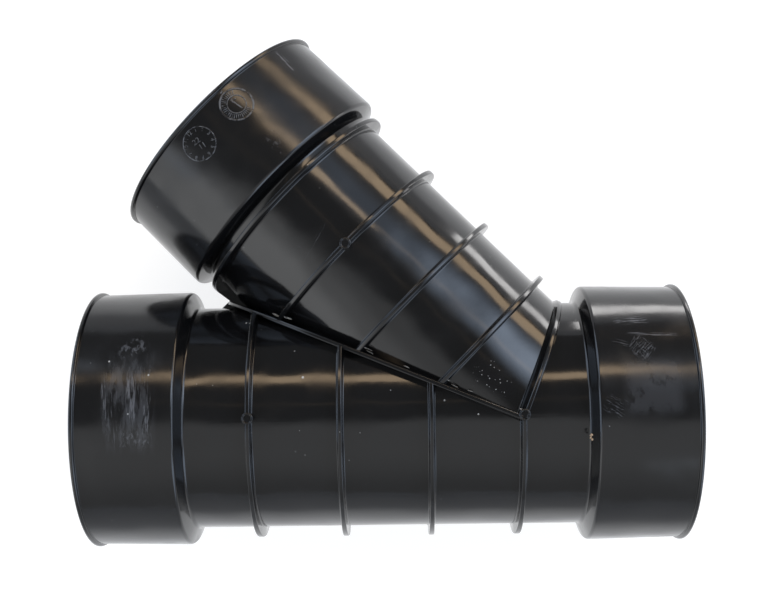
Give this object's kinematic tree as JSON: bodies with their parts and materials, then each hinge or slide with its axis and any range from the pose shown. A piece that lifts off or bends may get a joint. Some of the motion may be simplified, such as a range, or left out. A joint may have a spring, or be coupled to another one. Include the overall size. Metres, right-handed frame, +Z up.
{
  "type": "lateral wye pipe fitting",
  "caption": "Moulded drainage pipe wye: a 45 degree branch on a straight run, with a bell socket at each of its three mouths and stiffening ribs round its barrels.",
  "frame": {"origin": "on the resting surface, under the middle of the fitting's box, which lies flat on its three rims", "axes": "+X along the run towards its short outlet leg, the branch leans back towards -X and +Y at 45 degrees, +Z up from the surface that it lies on"},
  "size_m": [0.2892, 0.2548, 0.1276],
  "materials": {
    "black_plastic": "glossy moulded black polyethylene"
  },
  "bodies": {
    "root": {"wye_fitting": "black_plastic"}
  },
  "joints": []
}
